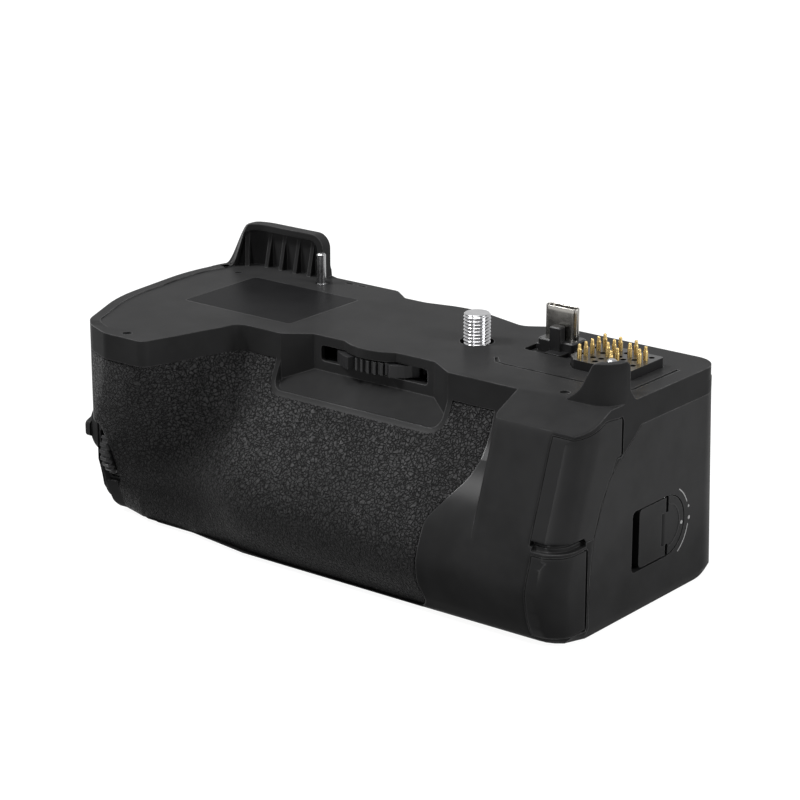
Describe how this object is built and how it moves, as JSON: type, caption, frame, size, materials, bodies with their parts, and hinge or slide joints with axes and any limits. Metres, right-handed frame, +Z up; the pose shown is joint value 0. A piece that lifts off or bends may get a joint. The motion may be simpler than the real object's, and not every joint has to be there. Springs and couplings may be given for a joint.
{
  "type": "file transmitter grip",
  "caption": "Vertical battery and network grip that screws under a mirrorless camera, with a battery tray, port doors and second controls.",
  "frame": {"origin": "on the base, on the axis of the tripod socket and of the camera screw above it", "axes": "+X along the grip towards the end with the battery tray, +Y from the hand side to the back, +Z up to the camera"},
  "size_m": [0.1396, 0.0692, 0.0583],
  "materials": {
    "case": "fine texture",
    "cover": "fine texture",
    "shell": "moulded",
    "grip_rubber": "pebble grain",
    "label": "satin",
    "screw": "polished",
    "steel": "satin",
    "wheel": "moulded",
    "gold": "plated",
    "connector": "moulded",
    "board": "solder mask",
    "battery": "moulded"
  },
  "bodies": {
    "grip": {"top_case": "case", "main_case": "shell", "front_grip_rubber": "grip_rubber", "left_end_cap": "cover", "rear_cover": "cover", "rear_thumb_rubber": "grip_rubber", "label_plate": "label", "screw_bearing": "steel", "wheel_axle": "steel", "locating_pin_left": "gold", "locating_pin_right": "gold", "usb_plug_carrier": "connector", "usb_plug_shell": "steel", "contact_block": "connector", "contact_pins": "gold", "tripod_bush": "steel", "main_board": "board", "battery_contacts": "gold", "lan_door_pin": "steel", "mobile_door_pin": "steel", "lan_jack": "connector", "usb_socket": "steel", "shutter_switch": "connector", "front_dial_axle": "steel", "rear_dial_axle": "steel", "stick_housing": "connector", "button_switches": "connector"},
    "tray": {"battery_tray": "shell", "battery_inner": "battery", "battery_outer": "battery", "tray_cap": "cover", "latch_rotor": "cover", "flap_pin": "steel", "latch_bolt": "steel"},
    "latch_flap": {"latch_flap": "cover"},
    "tightening_wheel": {"tightening_wheel": "wheel"},
    "camera_screw": {"camera_screw": "screw"},
    "lan_door": {"lan_door": "grip_rubber"},
    "mobile_door": {"mobile_door": "grip_rubber"},
    "front_dial": {"front_dial": "wheel"},
    "rear_dial": {"rear_dial": "wheel"},
    "shutter_ring": {"shutter_ring": "wheel"},
    "shutter_button": {"shutter_button": "screw"},
    "stick_gimbal": {"stick_gimbal": "steel"},
    "focus_stick": {"focus_stick": "wheel"},
    "rear_button_left": {"rear_button_left": "wheel"},
    "rear_button_right": {"rear_button_right": "wheel"}
  },
  "joints": [
    {"name": "tray_slide", "type": "slide", "parent": "grip", "child": "tray", "axis": [1, 0, 0], "range_m": [0, 0.1]},
    {"name": "flap_fold", "type": "hinge", "parent": "tray", "child": "latch_flap", "pos_m": [0.04925, -0.0003, 0.0164], "axis": [0, 0, 1], "range_deg": [0, 95]},
    {"name": "wheel_turn", "type": "hinge", "parent": "grip", "child": "tightening_wheel", "pos_m": [-0.0157, -0.0069, 0.044], "axis": [0, 0, 1], "continuous": true},
    {"name": "screw_turn", "type": "hinge", "parent": "grip", "child": "camera_screw", "pos_m": [0, 0, 0.04], "axis": [0, 0, 1], "continuous": true},
    {"name": "lan_door_hinge", "type": "hinge", "parent": "grip", "child": "lan_door", "pos_m": [0.0494, -0.0183, 0.0409], "axis": [0, 0, -1], "range_deg": [-80, 0]},
    {"name": "mobile_door_hinge", "type": "hinge", "parent": "grip", "child": "mobile_door", "pos_m": [0.0494, -0.0303, 0.011], "axis": [0, 0, -1], "range_deg": [-85, 0]},
    {"name": "front_dial_turn", "type": "hinge", "parent": "grip", "child": "front_dial", "pos_m": [-0.0771, -0.032, 0.0164], "axis": [1, 0, 0], "continuous": true},
    {"name": "rear_dial_turn", "type": "hinge", "parent": "grip", "child": "rear_dial", "pos_m": [-0.0754, 0.0142, 0.0332], "axis": [1, 0, 0], "continuous": true},
    {"name": "shutter_ring_turn", "type": "hinge", "parent": "grip", "child": "shutter_ring", "pos_m": [-0.088, -0.026, 0.0186], "axis": [1, 0, 0], "range_deg": [0, 40]},
    {"name": "shutter_press", "type": "slide", "parent": "grip", "child": "shutter_button", "axis": [1, 0, 0], "range_m": [0, 0.0008], "stiffness_N_per_m": 600},
    {"name": "stick_up_down", "type": "hinge", "parent": "grip", "child": "stick_gimbal", "pos_m": [-0.062, 0.0146, 0.0352], "axis": [1, 0, 0], "range_deg": [-8, 8], "stiffness_Nm_per_rad": 0.02},
    {"name": "stick_left_right", "type": "hinge", "parent": "stick_gimbal", "child": "focus_stick", "pos_m": [-0.062, 0.0146, 0.0352], "axis": [0, 0, 1], "range_deg": [-8, 8], "stiffness_Nm_per_rad": 0.02},
    {"name": "left_button_press", "type": "slide", "parent": "grip", "child": "rear_button_left", "axis": [0, -1, 0], "range_m": [0, 0.0006], "stiffness_N_per_m": 600},
    {"name": "right_button_press", "type": "slide", "parent": "grip", "child": "rear_button_right", "axis": [0, -1, 0], "range_m": [0, 0.0006], "stiffness_N_per_m": 600}
  ],
  "couplings": [
    {"joint": "screw_turn", "follows": "wheel_turn", "ratio": -0.96}
  ]
}
